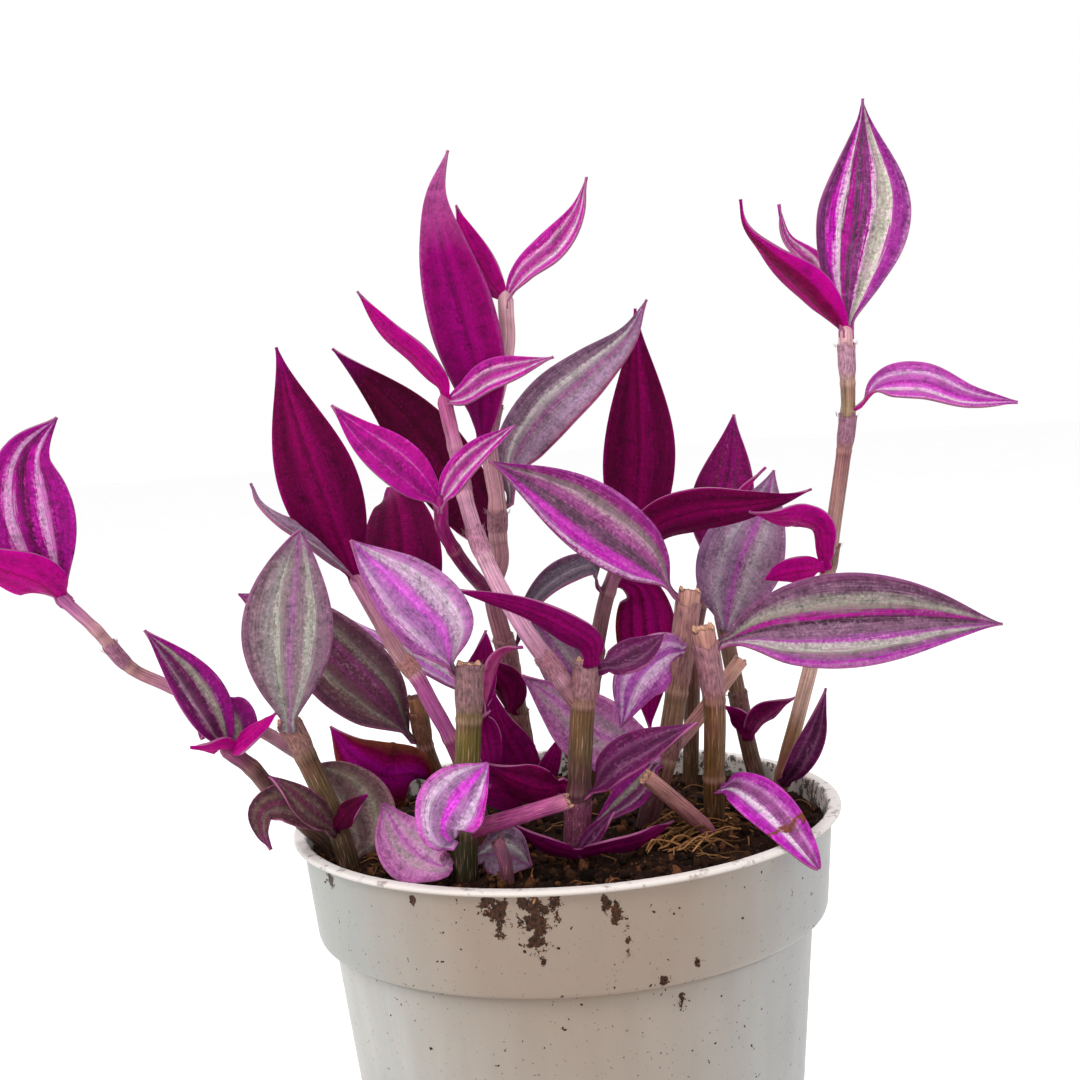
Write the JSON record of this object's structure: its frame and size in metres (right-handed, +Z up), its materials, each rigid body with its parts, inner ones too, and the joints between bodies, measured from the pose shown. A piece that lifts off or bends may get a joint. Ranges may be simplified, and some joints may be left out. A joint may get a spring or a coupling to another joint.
{
  "type": "potted tradescantia",
  "caption": "Bushy trailing house plant with upright and hanging striped leaves on jointed stems, rooted in a round plastic nursery pot full of soil.",
  "frame": {"origin": "centre of the pot's underside, on the surface it stands on", "axes": "+Z up along the pot's axis, -Y towards the side with the two cut front stubs, +X towards the tall shoot with the silver leaf"},
  "size_m": [0.2306, 0.12, 0.2573],
  "materials": {
    "pot": "satin pale moulded plastic with soil smears",
    "soil": "matt damp crumbs with tan fibres",
    "stem": "satin living stem, green-brown to pink",
    "leaf_silver": "satin leaf, silver bands with purple lines",
    "leaf_purple": "satin leaf, purple with pale bands",
    "leaf_magenta": "satin young leaf, bright magenta underside",
    "leaf_wine": "satin old leaf, deep wine underside",
    "leaf_pink": "satin leaf, lilac with pink centre stripe"
  },
  "bodies": {
    "root": {"pot": "pot", "soil": "soil", "stem_front_left": "stem", "stem_centre": "stem", "stem_back_tall": "stem", "stem_right_inner": "stem", "stem_right_stub": "stem", "stem_right_tall": "stem", "stem_back_right": "stem", "stem_front_cut": "stem", "stem_left_stub": "stem", "stem_left_low": "stem", "stem_dry_stub": "stem", "stem_pink": "stem", "stem_front_small": "stem", "stem_back_middle": "stem", "stem_back_second": "stem", "leaf_right_silver": "leaf_silver", "leaves_crown_right": "leaf_purple", "leaf_right_arching": "leaf_purple", "leaves_right_middle": "leaf_magenta", "leaf_right_low": "leaf_purple", "leaf_grey_upright": "leaf_silver", "leaf_long_dark": "leaf_wine", "leaf_upright_dark": "leaf_wine", "leaves_back_hanging": "leaf_magenta", "leaf_grey_curved": "leaf_silver", "leaves_purple_upright": "leaf_purple", "leaf_striped_centre": "leaf_purple", "leaf_silver_behind": "leaf_silver", "leaves_centre_top": "leaf_magenta", "leaf_pink_striped": "leaf_pink", "leaves_front_left_node": "leaf_magenta", "leaf_dark_drooping": "leaf_wine", "leaf_lilac_narrow": "leaf_pink", "leaf_low_wine": "leaf_wine", "leaf_centre_right": "leaf_purple", "leaves_low_back": "leaf_purple", "leaf_front_striped": "leaf_pink", "leaves_front_low": "leaf_pink", "leaf_magenta_folded": "leaf_magenta", "leaf_grey_large": "leaf_silver", "leaf_silver_face": "leaf_silver", "leaves_left_dark": "leaf_wine", "leaf_round_dark": "leaf_wine", "leaf_tall_dark": "leaf_wine", "leaves_top_pair": "leaf_magenta", "leaves_middle_pair": "leaf_magenta", "leaves_bright_pair": "leaf_magenta", "leaf_left_brown": "leaf_wine", "leaf_silver_purple": "leaf_silver", "leaves_far_left": "leaf_magenta", "leaves_left_cluster": "leaf_purple", "leaves_left_low": "leaf_purple", "leaf_left_broad": "leaf_silver", "leaves_centre_foot": "leaf_magenta", "leaves_right_inner_low": "leaf_pink", "leaf_folded_pink": "leaf_pink", "leaves_back_right_pair": "leaf_wine", "leaf_front_right": "leaf_magenta"}
  },
  "joints": []
}
